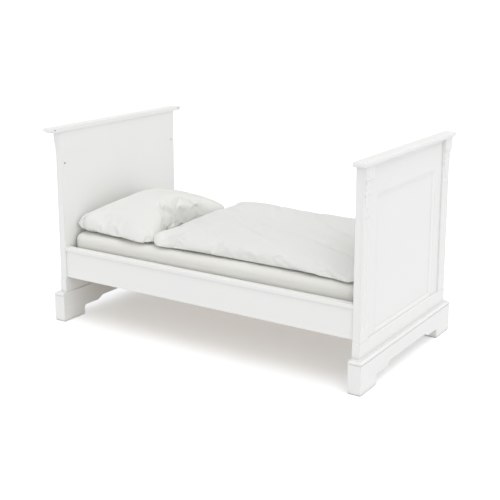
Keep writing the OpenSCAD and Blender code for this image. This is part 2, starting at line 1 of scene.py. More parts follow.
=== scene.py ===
"""Toddler bed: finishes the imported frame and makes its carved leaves, mattress, pillow and duvet.

It is laid out as an add-on. Each operator makes one piece or one group of like pieces, the panel
lists the operators, and main() calls them in order.
"""

import math

import bpy
from bpy.props import FloatProperty, FloatVectorProperty, IntProperty, PointerProperty
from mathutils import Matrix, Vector, noise


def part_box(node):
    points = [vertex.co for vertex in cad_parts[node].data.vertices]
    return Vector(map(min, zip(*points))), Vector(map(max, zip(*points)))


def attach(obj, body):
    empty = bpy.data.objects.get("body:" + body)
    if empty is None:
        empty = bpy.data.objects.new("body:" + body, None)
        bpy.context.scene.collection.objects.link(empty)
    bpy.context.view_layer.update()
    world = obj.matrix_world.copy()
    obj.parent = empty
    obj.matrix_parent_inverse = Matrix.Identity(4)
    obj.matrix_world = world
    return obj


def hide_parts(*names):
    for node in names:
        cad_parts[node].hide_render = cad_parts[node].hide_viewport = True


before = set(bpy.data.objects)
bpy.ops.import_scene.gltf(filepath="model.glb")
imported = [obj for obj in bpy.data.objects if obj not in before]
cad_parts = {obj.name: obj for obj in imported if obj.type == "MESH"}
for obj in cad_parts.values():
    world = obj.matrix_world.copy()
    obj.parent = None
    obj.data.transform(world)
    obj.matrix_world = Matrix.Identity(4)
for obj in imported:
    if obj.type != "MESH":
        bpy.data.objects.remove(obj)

bl_info = {
    "name": "Toddler Bed",
    "version": (1, 0, 0),
    "blender": (4, 5, 0),
    "location": "3D View > Sidebar > Bed",
    "description": "Paints a toddler bed and makes its carvings and bedding",
    "category": "Add Mesh",
}

X, Y, Z = 0, 1, 2


# ---- Sizes and colours that a user would change ----


class BedFinishSettings(bpy.types.PropertyGroup):
    """Colours and surface detail of the wood, metal and cloth."""

    paint: FloatVectorProperty(
        name="Paint", description="Colour of the painted wood", subtype="COLOR",
        size=3, min=0, max=1, default=(0.865, 0.865, 0.85))
    pine: FloatVectorProperty(
        name="Pine", description="Colour of the bare pine slats and ledgers", subtype="COLOR",
        size=3, min=0, max=1, default=(0.68, 0.49, 0.29))
    cotton: FloatVectorProperty(
        name="Cotton", description="Colour of the pillow and the duvet", subtype="COLOR",
        size=3, min=0, max=1, default=(0.90, 0.905, 0.875))
    cover: FloatVectorProperty(
        name="Mattress cover", description="Colour of the mattress cover", subtype="COLOR",
        size=3, min=0, max=1, default=(0.80, 0.795, 0.75))
    edge_softness: FloatProperty(
        name="Edge softness", description="Radius to which painted edges look rounded",
        unit="LENGTH", subtype="DISTANCE", min=0, default=0.0012)
    # Painted shade: how far the darkening painted into corners, crevices and holes reaches
    painted_shade_reach: FloatProperty(
        name="Crevice reach", description="How far a crevice's dark line reaches out of it",
        unit="LENGTH", subtype="DISTANCE", min=0, default=0.020)
    leaf_width: FloatProperty(
        name="Leaf width", description="Width of a carved leaf at its top",
        unit="LENGTH", subtype="DISTANCE", min=0, default=0.054)
    leaf_relief: FloatProperty(
        name="Leaf relief", description="Height of a carved leaf above the wood behind it",
        unit="LENGTH", subtype="DISTANCE", min=0, default=0.0055)
    thread: FloatProperty(
        name="Thread pitch", description="Distance between neighbouring threads of the weave",
        unit="LENGTH", subtype="DISTANCE", min=0.0002, default=0.0009)


class BedBeddingSettings(bpy.types.PropertyGroup):
    """Sizes of the soft pieces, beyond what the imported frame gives."""

    mattress_roll: FloatProperty(
        name="Mattress edge", description="Radius of the mattress's long edges",
        unit="LENGTH", subtype="DISTANCE", default=0.027)
    mattress_crown: FloatProperty(
        name="Mattress crown", description="Rise of the mattress's middle over its edges",
        unit="LENGTH", subtype="DISTANCE", default=0.004)
    cloth_cell: FloatProperty(
        name="Cloth cell", description="Size of the cells of simulated cloth",
        unit="LENGTH", subtype="DISTANCE", min=0.004, default=0.008)
    puff_frames: IntProperty(
        name="Puff frames", description="Frames over which cloth is blown up", default=20)
    pillow_slack: FloatProperty(
        name="Pillow slack", description="How much larger the flat pillowcase is than the pillow",
        subtype="FACTOR", default=0.10)
    pillow_blunt: FloatProperty(
        name="Pillow corners", description="How far the pillowcase's corners are rounded off",
        subtype="FACTOR", default=0.09)
    seam_height: FloatProperty(
        name="Pillow seam", description="Height of the pillow's seam above the mattress",
        unit="LENGTH", subtype="DISTANCE", default=0.029)
    piping: FloatProperty(
        name="Piping", description="Radius of the sewn piping along a seam",
        unit="LENGTH", subtype="DISTANCE", min=0.0005, default=0.0019)
    duvet_slack: FloatProperty(
        name="Duvet slack", description="How much the duvet's cover is larger than its filling",
        subtype="FACTOR", default=0.03)


class BedStageSettings(bpy.types.PropertyGroup):
    """Camera, lamps and floor."""

    camera_at: FloatVectorProperty(
        name="Camera", description="Place of the camera", subtype="TRANSLATION", size=3,
        default=(2.244, -3.448, 1.509))
    yaw: FloatProperty(
        name="Yaw", description="Turn of the camera about the vertical", subtype="ANGLE",
        default=math.radians(33.02))
    pitch: FloatProperty(
        name="Pitch", description="Tilt of the camera below the horizon", subtype="ANGLE",
        default=math.radians(12.4))
    lens: FloatProperty(name="Lens", description="Focal length in millimetres", default=71.1)
    shift: FloatProperty(
        name="Shift", description="Upward shift of the picture", default=-0.12)
    sky: FloatProperty(name="Sky", description="Strength of the even light", default=0.70)
    lamp: FloatProperty(name="Lamp", description="Strength of the broad lamp", default=0.9)
    lamp_from: FloatVectorProperty(
        name="Lamp direction", description="Where the broad lamp's light comes from",
        subtype="DIRECTION", size=3, default=(0.28, -0.20, 0.94))
    fill: FloatProperty(name="Fill", description="Strength of the low front lamp", default=0.5)
    fill_from: FloatVectorProperty(
        name="Fill direction", description="Where the low front lamp's light comes from",
        subtype="DIRECTION", size=3, default=(0.70, -0.62, 0.22))
    floor_glow: FloatProperty(
        name="Floor glow", description="How far the floor is lifted towards white in the picture",
        default=0.32)


def settings():
    """The scene's sizes and colours."""
    return bpy.context.scene.bed_finish, bpy.context.scene.bed_bedding, bpy.context.scene.bed_stage


# ---- Finishes ----


class Wire:
    """An output socket of a finish. Sums written on it add Math nodes."""

    def __init__(self, finish, socket):
        self.finish = finish
        self.socket = socket

    def math(self, operation, *values):
        return self.finish.node("ShaderNodeMath", {"operation": operation}, values)

    def __add__(self, other):
        return self.math("ADD", self, other)

    __radd__ = __add__

    def __sub__(self, other):
        return self.math("SUBTRACT", self, other)

    def __rsub__(self, other):
        return self.math("SUBTRACT", other, self)

    def __mul__(self, other):
        return self.math("MULTIPLY", self, other)

    def above(self, low, high):
        """0 where the value is below low, 1 where it is above high."""
        return self.finish.node(
            "ShaderNodeMapRange", {"interpolation_type": "SMOOTHSTEP"}, [self, low, high])


class Finish:
    """A material with one shader, and one method that adds any other node."""

    def __init__(self, name, **shader):
        self.material = bpy.data.materials.new(name)
        self.material.use_nodes = True
        self.tree = self.material.node_tree
        self.shader = self.tree.nodes["Principled BSDF"]
        self.set(**shader)

    def fill(self, socket, value):
        if isinstance(value, Wire):
            self.tree.links.new(value.socket, socket)
        else:
            socket.default_value = value

    def set(self, **values):
        """Sets or links the shader's sockets, named with underscores for spaces."""
        for name, value in values.items():
            self.fill(self.shader.inputs[name.replace("_", " ")], value)

    def node(self, kind, choices=None, sockets=(), out=0):
        made = self.tree.nodes.new(kind)
        for name, value in (choices or {}).items():
            setattr(made, name, value)
        for key, value in sockets.items() if isinstance(sockets, dict) else enumerate(sockets):
            self.fill(made.inputs[key], value)
        return Wire(self, made.outputs[out])

    def place(self, scale=(1, 1, 1)):
        """The piece's own coordinates in metres, scaled."""
        at = self.node("ShaderNodeTexCoord", out="Object")
        return self.node("ShaderNodeMapping", {}, {"Vector": at, "Scale": scale})

    def blotch(self, scale, detail=2.0, rough=0.5):
        """Soft noise from 0 to 1."""
        return self.node(
            "ShaderNodeTexNoise", {},
            {"Vector": self.place(scale), "Scale": 1.0, "Detail": detail, "Roughness": rough})

    def threads(self, axis, pitch):
        """Waves from 0 to 1 along one axis, one for each thread."""
        directions = ("X", "Y", "Z")
        return self.node(
            "ShaderNodeTexWave", {"bands_direction": directions[axis], "wave_profile": "SIN"},
            {"Vector": self.place(), "Scale": 0.314 / pitch, "Distortion": 0.6,
             "Detail": 1.0, "Detail Scale": 0.4 / pitch})

    def mix(self, factor, first, second):
        sockets = {0: factor, 6: rgba(first), 7: rgba(second)}
        return self.node("ShaderNodeMix", {"data_type": "RGBA"}, sockets, out=2)

    def bump(self, height, depth, normal=None):
        sockets = {"Height": height, "Distance": depth}
        if normal:
            sockets["Normal"] = normal
        return self.node("ShaderNodeBump", {}, sockets)


def rgba(colour):
    """A colour with alpha, or a wire as it is."""
    return colour if isinstance(colour, Wire) else (*colour[:3], 1.0)


def shade(colour, factor):
    """A colour made lighter or darker."""
    return tuple(min(1.0, c * factor) for c in colour[:3])


def along(axis, run, across):
    """A scale vector: run along one axis, across along the other two."""
    return tuple(run if i == axis else across for i in range(3))


def paint(axis):
    """Satin paint brushed along one axis, rubbed smoother at its edges, with a painted highlight on
    the edges and painted shade in its corners, crevices and holes.
    """
    look, _, _ = settings()
    finish = Finish(f"satin_paint_{'xyz'[axis]}", IOR=1.46, Coat_Weight=0.12, Coat_Roughness=0.35)
    soft = finish.node("ShaderNodeBevel", {"samples": 4}, {"Radius": look.edge_softness})
    flat = finish.node("ShaderNodeNewGeometry", out="Normal")
    turn = finish.node(
        "ShaderNodeVectorMath", {"operation": "DOT_PRODUCT"}, [soft, flat], out="Value")
    edge = (1 - turn).above(0.01, 0.12)
    strokes = finish.blotch(along(axis, 7.0, 420.0), detail=3.0)
    cloud = finish.blotch((3.0, 3.0, 3.0))
    grain = finish.blotch(along(axis, 2.0, 70.0), detail=4.0, rough=0.6)
    tone = finish.mix(cloud, shade(look.paint, 0.985), shade(look.paint, 1.01))
    tone = finish.mix(grain.above(0.55, 0.75) * 0.22, tone, shade(look.paint, 0.955))
    # Painted highlight: the paint is made lighter along convex edges; the lower roughness there
    # stands for real rubbing
    tone = finish.mix(edge * 0.35, tone, shade(look.paint, 1.06))
    # Painted shade: ambient occlusion darkens the paint in corners, crevices and holes, nearly to
    # black in deep holes
    open_air = finish.node(
        "ShaderNodeAmbientOcclusion", {"samples": 8}, {"Distance": look.painted_shade_reach}, out="AO")
    crevice = 1 - open_air
    painted_crevice_shade = crevice * 0.26 + crevice.above(0.72, 1.0) * 0.62
    tone = finish.mix(painted_crevice_shade, tone, shade(look.paint, 0.15))
    finish.set(
        Base_Color=tone,
        Roughness=0.36 + strokes * 0.10 + cloud * 0.06 - edge * 0.06,
        Normal=finish.bump(strokes * 0.6 + grain * 0.4, 0.00022, soft))
    return finish.material


def pine(axis):
    """Sanded bare pine with its rings running along one axis."""
    look, _, _ = settings()
    finish = Finish(f"bare_pine_{'xyz'[axis]}", IOR=1.45)
    bend = finish.blotch(along(axis, 1.2, 6.0))
    rings = finish.node(
        "ShaderNodeTexWave", {"wave_type": "RINGS", "rings_direction": "XYZ"[axis]},
        {"Vector": finish.place(along(axis, 0.5, 1.0)), "Scale": 26.0, "Distortion": 7.0,
         "Detail": 2.0, "Detail Scale": 1.3})
    fibre = finish.blotch(along(axis, 14.0, 1100.0), detail=3.0)
    tone = finish.mix(rings.above(0.15, 0.95), shade(look.pine, 1.12), shade(look.pine, 0.72))
    tone = finish.mix(bend, tone, shade(look.pine, 1.05))
    tone = finish.mix(fibre.above(0.5, 0.8) * 0.5, tone, shade(look.pine, 0.62))
    finish.set(
        Base_Color=tone, Roughness=0.55 + fibre * 0.2,
        Normal=finish.bump(fibre + rings * 0.5, 0.00025))
    return finish.material


def zinc():
    """Zinc-plated steel with fine turning marks and dull patches."""
    finish = Finish("zinc_steel", Metallic=1.0)
    marks = finish.blotch((30.0, 1500.0, 1500.0), detail=2.0)
    dull = finish.blotch((180.0, 180.0, 180.0), detail=3.0)
    finish.set(
        Base_Color=finish.mix(dull, (0.60, 0.61, 0.62), (0.76, 0.77, 0.78)),
        Roughness=0.26 + dull * 0.25,
        Normal=finish.bump(marks, 0.00005))
    return finish.material


def glide_plastic():
    """Grey moulded plastic with a fine grain and dusty scuffs."""
    finish = Finish("glide_plastic", IOR=1.5)
    grain = finish.blotch((2600.0, 2600.0, 2600.0), detail=2.0)
    scuff = finish.blotch((60.0, 60.0, 260.0), detail=4.0, rough=0.65)
    finish.set(
        Base_Color=finish.mix(scuff.above(0.5, 0.8), (0.55, 0.55, 0.54), (0.42, 0.415, 0.40)),
        Roughness=0.5 + scuff * 0.25,
        Normal=finish.bump(grain, 0.00008))
    return finish.material


def webbing():
    """Woven cotton tape with ribs across it, threads along it and darker worn patches."""
    finish = Finish("webbing", Sheen_Weight=0.2)
    ribs = finish.threads(X, 0.0022)
    warp = finish.threads(Y, 0.0013)
    worn = finish.blotch((90.0, 90.0, 90.0), detail=3.0)
    tone = finish.mix(ribs * warp, (0.60, 0.58, 0.52), (0.78, 0.76, 0.70))
    finish.set(
        Base_Color=finish.mix(worn * 0.3, tone, (0.66, 0.63, 0.56)),
        Roughness=0.85 + worn * 0.1,
        Normal=finish.bump(ribs * 0.6 + warp * 0.4, 0.0005))
    return finish.material


def cotton(name):
    """Plain-weave cotton: crossed threads, thicker slubs, soft creasing from the wash."""
    look, _, _ = settings()
    colour = look.cotton
    finish = Finish(name, Sheen_Weight=0.25, Sheen_Roughness=0.6, IOR=1.4)
    weave = sum(finish.threads(axis, look.thread) for axis in (X, Y, Z)) * 0.33
    slubs = finish.blotch((55.0, 900.0, 900.0), detail=2.0) * finish.blotch((900.0, 55.0, 900.0))
    wash = finish.blotch((26.0, 26.0, 26.0), detail=4.0, rough=0.62)
    cloud = finish.blotch((5.0, 5.0, 5.0))
    tone = finish.mix(cloud, shade(colour, 0.985), shade(colour, 1.015))
    tone = finish.mix(weave.above(0.2, 0.7), shade(colour, 0.965), tone)
    tone = finish.mix(slubs.above(0.32, 0.5) * 0.5, tone, shade(colour, 1.04))
    finish.set(
        Base_Color=tone,
        Roughness=0.80 + wash * 0.12,
        Normal=finish.bump(weave * 0.5 + wash * 1.3 + slubs * 0.25, 0.0013))
    return finish.material


def satin_cover():
    """Satin-weave mattress cover: long floats painted lighter as a painted sheen, and faint
    puckers.
    """
    look, _, _ = settings()
    finish = Finish("satin_cover", Sheen_Weight=0.5, Sheen_Roughness=0.35, IOR=1.5)
    floats = finish.blotch((120.0, 2400.0, 2400.0), detail=2.0)
    rows = finish.threads(Z, look.thread * 0.8)
    pucker = finish.blotch((7.0, 9.0, 34.0), detail=3.0, rough=0.55)
    cloud = finish.blotch((6.0, 4.0, 10.0))
    tone = finish.mix(cloud, shade(look.cover, 0.975), shade(look.cover, 1.02))
    # Painted sheen: the floats are painted lighter in colour to stand for their shine
    tone = finish.mix(floats.above(0.45, 0.75) * 0.5, tone, shade(look.cover, 1.05))
    finish.set(
        Base_Color=tone,
        Roughness=0.34 + floats * 0.12 + pucker * 0.08,
        Normal=finish.bump(pucker + rows * 0.05 + floats * 0.06, 0.0030))
    return finish.material


def dress(node, material):
    """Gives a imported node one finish."""
    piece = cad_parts[node]
    piece.data.materials.clear()
    piece.data.materials.append(material)


def smooth(piece):
    for face in piece.data.polygons:
        face.use_smooth = True


def add_piece(name, points, faces, material, body, replaced=()):
    """A mesh that rides on a body and stands for the nodes that it replaces."""
    mesh = bpy.data.meshes.new(name)
    mesh.from_pydata(points, [], faces)
    mesh.validate()
    piece = bpy.data.objects.new(name, mesh)
    bpy.context.scene.collection.objects.link(piece)
    mesh.materials.append(material)
    smooth(piece)
    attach(piece, body)
    if replaced:
        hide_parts(*replaced)
    return piece


# ---- Soft shells ----


def clamp(value, low, high):
    return max(low, min(high, value))


def ease(value):
    """A smooth step from 0 to 1."""
    t = clamp(value, 0.0, 1.0)
    return t * t * (3 - 2 * t)


def bell(value):
    """1 at 0, and nearly nothing beyond 2 on both sides."""
    return math.exp(-(value ** 2))


def ripple(point, scale, seed=0.0):
    """Smooth noise from -1 to 1 at a point, with waves about 1 / scale long."""
    return noise.noise(Vector((point[0] * scale + seed, point[1] * scale - seed, point[2] * scale)))


def lattice(counts):
    """Points and quads on the outside of a block of cells."""
    nx, ny, nz = counts
    index, points, faces = {}, [], []

    def corner(i, j, k):
        if (i, j, k) not in index:
            index[i, j, k] = len(points)
            points.append((i / nx, j / ny, k / nz))
        return index[i, j, k]

    def add_face(flip, *places):
        ring = [corner(*place) for place in places]
        faces.append(ring[::-1] if flip else ring)

    for k, flip in ((0, True), (nz, False)):
        for i in range(nx):
            for j in range(ny):
                add_face(flip, (i, j, k), (i + 1, j, k), (i + 1, j + 1, k), (i, j + 1, k))
    for k in range(nz):
        for i in range(nx):
            for j, flip in ((0, False), (ny, True)):
                add_face(flip, (i, j, k), (i + 1, j, k), (i + 1, j, k + 1), (i, j, k + 1))
        for j in range(ny):
            for i, flip in ((0, True), (nx, False)):
                add_face(flip, (i, j, k), (i, j + 1, k), (i, j + 1, k + 1), (i, j, k + 1))
    return points, faces


def to_disc(a, b):
    """Carries a square's point to the disc that fits in it."""
    longest, length = max(abs(a), abs(b)), math.hypot(a, b)
    return (a, b) if length == 0 else (a * longest / length, b * longest / length)


def round_slab(low, high, roll, corner, cell):
    """A closed slab of small cells, its long edges rolled and its corners rounded in plan."""
    size = high - low
    middle = (low + high) / 2
    counts = [max(4, round(side / cell)) for side in size]
    unit, faces = lattice(counts)
    points = []
    for u in unit:
        p = Vector([(u[i] - 0.5) * size[i] for i in range(3)])
        inset = min(size.x / 2 - abs(p.x), size.y / 2 - abs(p.y))
        out = roll - clamp(inset, 0, roll)
        rise = roll - clamp(size.z / 2 - abs(p.z), 0, roll)
        new_out, new_rise = to_disc(out, rise)
        core = [max(size[i] / 2 - corner, 0) for i in (X, Y)]
        inner = Vector((clamp(p.x, -core[X], core[X]), clamp(p.y, -core[Y], core[Y])))
        arm = Vector(to_disc((p.x - inner.x), (p.y - inner.y)))
        if arm.length > 0:
            arm *= max(0.0, 1 - (out - new_out) / arm.length)
        z = math.copysign(size.z / 2 - roll + new_rise, p.z) if rise > 0 else p.z
        points.append(middle + Vector((inner.x + arm.x, inner.y + arm.y, z)))
    return points, faces


def blow_up(piece, pressure, frames, held=None, grow=0.0):
    """Runs the piece as cloth with air inside, and keeps the shape that it ends in."""
    scene = bpy.context.scene
    cloth = piece.modifiers.new("air", "CLOTH")
    rules = cloth.settings
    rules.quality = 6
    rules.mass = 0.25
    rules.tension_stiffness = rules.compression_stiffness = 22
    rules.shear_stiffness = 8
    rules.bending_stiffness = 0.35
    rules.use_pressure = True
    rules.uniform_pressure_force = pressure
    rules.shrink_min = -grow
    rules.effector_weights.gravity = 0
    if held:
        group = piece.vertex_groups.new(name="held")
        for index, weight in held.items():
            group.add([index], weight, "REPLACE")
        rules.vertex_group_mass = "held"
        rules.pin_stiffness = 4
    cloth.point_cache.frame_start, cloth.point_cache.frame_end = 1, frames
    for step in range(1, frames + 1):
        scene.frame_set(step)
    shaped = piece.evaluated_get(bpy.context.evaluated_depsgraph_get())
    points = [v.co.copy() for v in shaped.data.vertices]
    piece.modifiers.remove(cloth)
    scene.frame_set(1)
    return points


def set_points(piece, points):
    for vertex, point in zip(piece.data.vertices, points):
        vertex.co = point
    piece.data.update()


def fit_points(points, low, high):
    """Scales points so that their box becomes the one from low to high."""
    old_low = Vector([min(p[i] for p in points) for i in range(3)])
    old_high = Vector([max(p[i] for p in points) for i in range(3)])
    scale = [(high[i] - low[i]) / (old_high[i] - old_low[i]) for i in range(3)]
    return [Vector([low[i] + (p[i] - old_low[i]) * scale[i] for i in range(3)]) for p in points]


def subdivide(piece, levels=1):
    smoother = piece.modifiers.new("smooth", "SUBSURF")
    smoother.levels = smoother.render_levels = levels


def round_path(low, high, corner, step):
    """Points round a box in plan, with round corners."""
    def on_arc(centre, degrees):
        angle = math.radians(degrees)
        arm = corner * math.cos(angle), corner * math.sin(angle)
        return Vector((centre[0] + arm[0], centre[1] + arm[1], 0))

    path = []
    centres = [
        (high.x - corner, high.y - corner), (low.x + corner, high.y - corner),
        (low.x + corner, low.y + corner), (high.x - corner, low.y + corner)]
    for k, centre in enumerate(centres):
        for turn in range(7):
            path.append(on_arc(centre, 90 * k + 15 * turn))
        end = on_arc(centres[(k + 1) % 4], 90 * (k + 1))
        start = path[-1]
        count = max(2, round((end - start).length / step))
        path += [start.lerp(end, n / count) for n in range(1, count)]
    return path


def add_piping(name, path, material, body):
    """A thin round welt sewn along a closed path."""
    _, soft, _ = settings()
    sides, count = 8, len(path)
    points, faces = [], []
    for k, at in enumerate(path):
        run = (path[(k + 1) % count] - path[k - 1]).normalized()
        across = run.cross(Vector((0, 0, 1))).normalized()
        up = across.cross(run)
        for n in range(sides):
            angle = 2 * math.pi * n / sides
            points.append(at + (across * math.cos(angle) + up * math.sin(angle)) * soft.piping)
    for k in range(count):
        for n in range(sides):
            a, b = k * sides + n, ((k + 1) % count) * sides + n
            c, d = ((k + 1) % count) * sides + (n + 1) % sides, k * sides + (n + 1) % sides
            faces.append((a, b, c, d))
    return add_piece(name, points, faces, material, body)


# ---- Operators ----


class BED_OT_paint_frame(bpy.types.Operator):
    """Paint the ends and the rails, with brush marks along each piece"""

    bl_idname = "bed.paint_frame"
    bl_label = "Paint frame"

    def execute(self, context):
        coats = {axis: paint(axis) for axis in (X, Y, Z)}
        upright = ("stile", "pilaster", "corbel", "panel", "leaf")
        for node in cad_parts:
            end_piece = node.split("_", 1)[1] if node.startswith(("head_", "foot_")) else None
            if end_piece:
                axis = Z if any(word in end_piece for word in upright) else Y
                dress(node, coats[axis])
            elif "rail" in node and node.startswith(("front_", "back_")):
                dress(node, coats[X])
        return {"FINISHED"}


class BED_OT_finish_base(bpy.types.Operator):
    """Finish the slats, ledgers, tapes, glides, dowels and metal fasteners"""

    bl_idname = "bed.finish_base"
    bl_label = "Finish base"

    def execute(self, context):
        steel = zinc()
        pines = {axis: pine(axis) for axis in (X, Y, Z)}
        dress("slats", pines[Y])
        dress("frame_dowels", pines[Y])
        dress("cap_dowels", pines[Z])
        dress("base_dowels", pines[Z])
        for node in ("front_ledger", "back_ledger", "rail_dowels"):
            dress(node, pines[X])
        for node in ("rail_studs", "barrel_nuts", "rail_inserts", "ledger_screws", "slat_screws"):
            dress(node, steel)
        dress("slat_tapes", webbing())
        dress("glides", glide_plastic())
        return {"FINISHED"}


class BED_OT_carve_leaves(bpy.types.Operator):
    """Carve the leaf on each pilaster"""

    bl_idname = "bed.carve_leaves"
    bl_label = "Carve leaves"

    def execute(self, context):
        look, _, _ = settings()
        material = bpy.data.materials["satin_paint_z"]
        for end, out in (("head", -1), ("foot", 1)):
            node = f"{end}_leaf_carvings"
            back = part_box(node)[1].y
            points, faces = [], []
            for side in (-1, 1):
                middle = side * (back - look.leaf_width / 2)
                add_leaf(points, faces, end, out, middle)
            add_piece(
                f"{end}_carved_leaves", points, faces, material, "bed_frame", [node])
        return {"FINISHED"}


def add_leaf(points, faces, end, out, middle):
    """Adds one hanging leaf that lies on the taper under a corbel and on the pilaster below it.

    Its lobes curl out of a midrib, hollowed between their veins.
    """
    look, _, _ = settings()
    low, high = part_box(f"{end}_leaf_carvings")
    taper_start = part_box(f"{end}_corbel_front")[0].z
    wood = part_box(f"{end}_pilaster_front")[1 if out > 0 else 0].x
    thickness, step, sunk = 0.003, 0.0015, 0.0002
    rib_width = 0.09
    hollow = abs((high.x if out > 0 else low.x) - wood) - thickness
    rows, columns, lobes = 96, 40, 5
    height = high.z - low.z
    first = len(points)
    for row in range(rows + 1):
        t = 0.99 * row / rows
        z = high.z - t * height
        s = clamp((z - taper_start) / (high.z - taper_start), 0, 1)
        behind = step + (hollow - step) * s ** 2.2
        behind *= ease((z - taper_start + thickness) / thickness)
        body = max(0.0, 1 - t ** 1.9) ** 0.72 * (0.90 + 0.10 * ease(t * 6))
        for column in range(columns + 1):
            u = 2 * column / columns - 1
            sweep = t - 0.10 * abs(u)
            lobe = abs(math.sin(math.pi * lobes * sweep))
            half = look.leaf_width / 2 * body * (0.74 + 0.26 * lobe ** 0.6)
            vein = 0.5 + 0.5 * math.cos(2 * math.pi * lobes * (t - 0.16 * abs(u)) + math.pi)
            dome = math.sqrt(max(0.0, 1 - u * u))
            rib = bell(u / rib_width)
            lift = look.leaf_relief * (dome ** 0.7 * (0.42 + 0.30 * vein) + 0.28 * rib)
            lift = lift * ease(body * 2.2) - sunk
            points.append((wood + out * (behind + lift), middle + u * half, z))
    wide = columns + 1
    last = first + rows * wide
    rings = [list(range(first + columns, first - 1, -1)), list(range(last, last + wide))]
    for row in range(rows):
        a = first + row * wide
        rings.append([a, a + wide, a + wide + columns, a + columns])
        rings += [[a + k, a + k + 1, a + k + wide + 1, a + k + wide] for k in range(columns)]
    faces.extend(ring if out < 0 else ring[::-1] for ring in rings)


class BED_OT_make_mattress(bpy.types.Operator):
    """Make the mattress in its satin cover, with a seam sewn round it"""

    bl_idname = "bed.make_mattress"
    bl_label = "Make mattress"

    def execute(self, context):
        _, soft, _ = settings()
        low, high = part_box("mattress")
        corner, cell = 0.045, 0.012
        sink = 0.0026  # keeps the waves of the top below the pillow and the duvet
        points, faces = round_slab(low, high, soft.mattress_roll, corner, cell)
        middle, size = (low + high) / 2, high - low
        for p in points:
            across = 2 * abs(p.y - middle.y) / size.y
            top = ease((p.z - middle.z) / (size.z / 2))
            dip = soft.mattress_crown * top * across ** 4
            wave = 0.0016 * ripple(p, 5.0) + 0.0008 * ripple(p, 14.0, 3.0) - sink
            p.z += (wave - dip) * top
            side = 1 - top
            p.y += math.copysign(0.0012 * side * ripple(p, 7.0, 9.0), p.y)
        material = satin_cover()
        piece = add_piece(
            "mattress_pad", points, faces, material, "mattress", ["mattress"])
        subdivide(piece)
        seam_level, seam_depth, seam_step = 0.36, 0.0014, 0.02
        seam_z = low.z + size.z * seam_level
        inset = Vector((seam_depth, seam_depth, 0))
        path = [
            Vector((p.x, p.y, seam_z))
            for p in round_path(low + inset, high - inset, corner, seam_step)]
        add_piping("mattress_seam", path, material, "mattress")
        return {"FINISHED"}


class BED_OT_make_pillow(bpy.types.Operator):
    """Blow up a flat pillowcase, lay it on the mattress and sew its seam"""

    bl_idname = "bed.make_pillow"
    bl_label = "Make pillow"

    def execute(self, context):
        _, soft, _ = settings()
        low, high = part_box("pillow")
        size, middle = high - low, (low + high) / 2
        flat = Vector((size.x, size.y)) * (1 + soft.pillow_slack)
        nx, ny = (round(side / soft.cloth_cell) for side in flat)
        pressure, start_lift, wrinkle = 5.0, 0.02, 0.0006
        points, faces = [], []
        top, under = {}, {}
        for i in range(nx + 1):
            for j in range(ny + 1):
                u, v = 2 * i / nx - 1, 2 * j / ny - 1
                blunt = 1 - soft.pillow_blunt * (u * v) ** 6
                x, y = middle.x + u * blunt * flat.x / 2, middle.y + v * blunt * flat.y / 2
                lift = start_lift * (1 - u ** 4) * (1 - v ** 4) + wrinkle * ripple((x, y, 0), 40.0)
                top[i, j] = under[i, j] = len(points)
                points.append((x, y, middle.z + lift))
                if 0 < i < nx and 0 < j < ny:
                    under[i, j] = len(points)
                    points.append((x, y, middle.z - lift))
        for i in range(nx):
            for j in range(ny):
                ring = [(i, j), (i + 1, j), (i + 1, j + 1), (i, j + 1)]
                faces.append([top[c] for c in ring])
                faces.append([under[c] for c in ring[::-1]])
        material = cotton("pillow_cotton")
        piece = add_piece(
            "pillow_case", points, faces, material, "pillow", ["pillow"])
        points = blow_up(piece, pressure, soft.puff_frames)
        points = fit_points([Vector(p) for p in points], low, high)
        lay_pillow(points, low, high, soft.seam_height)
        set_points(piece, points)
        subdivide(piece)
        walk = [(i, 0) for i in range(nx)] + [(nx, j) for j in range(ny)]
        walk += [(nx - i, ny) for i in range(nx)] + [(0, ny - j) for j in range(ny)]
        rim = [points[top[place]] for place in walk]
        add_piping("pillow_seam", rim, material, "pillow")
        return {"FINISHED"}


def lay_pillow(points, low, high, seam_height):
    """Lets a blown-up pillow lie down: flat underneath, highest behind its middle.

    Its seam hangs lowest at the front corner by the duvet and rises towards the back.
    """
    size, middle = high - low, (low + high) / 2
    rises_to, falls_from, falls_over = 0.62, 0.72, 0.28
    for p in points:
        u, v = (p.x - low.x) / size.x, (p.y - low.y) / size.y
        rise = (p.z - middle.z) / (size.z / 2)
        seam = low.z + seam_height + 0.018 * v - 0.020 * u * (1 - v) + 0.005 * ripple(p, 9.0)
        if rise > 0:
            fall = ease((v - falls_from) / falls_over)
            crown = 0.90 + 0.24 * ease(v / rises_to) - 0.10 * fall
            p.z = seam + (high.z - seam) * rise ** 0.66 * crown
        else:
            p.z = max(low.z, seam - 1.5 * (seam - low.z) * abs(rise) ** 0.6)


# Creases across the duvet: points along and across it, depth and half width in metres
DUVET_CREASES = (
    (((0.13, 0.58), (0.30, 0.40), (0.47, 0.27), (0.64, 0.17)), 0.0105, 0.024),
    (((0.03, 0.36), (0.16, 0.24), (0.34, 0.10)), 0.0085, 0.020),
    (((0.48, 0.86), (0.66, 0.62), (0.88, 0.46)), 0.0080, 0.026),
    (((0.66, 0.34), (0.82, 0.24), (0.98, 0.20)), 0.0095, 0.022),
    (((0.26, 0.92), (0.36, 0.74), (0.40, 0.60)), 0.0060, 0.020),
)


def distance_to(path, x, y):
    """Distance from a point to a line through several points, and how far along it that is."""
    best, place = 1e9, 0.0
    for k in range(len(path) - 1):
        start, step = Vector(path[k]), Vector(path[k + 1]) - Vector(path[k])
        t = clamp((Vector((x, y)) - start).dot(step) / step.length_squared, 0, 1)
        reach = (Vector((x, y)) - start - step * t).length
        if reach < best:
            best, place = reach, (k + t) / (len(path) - 1)
    return best, place


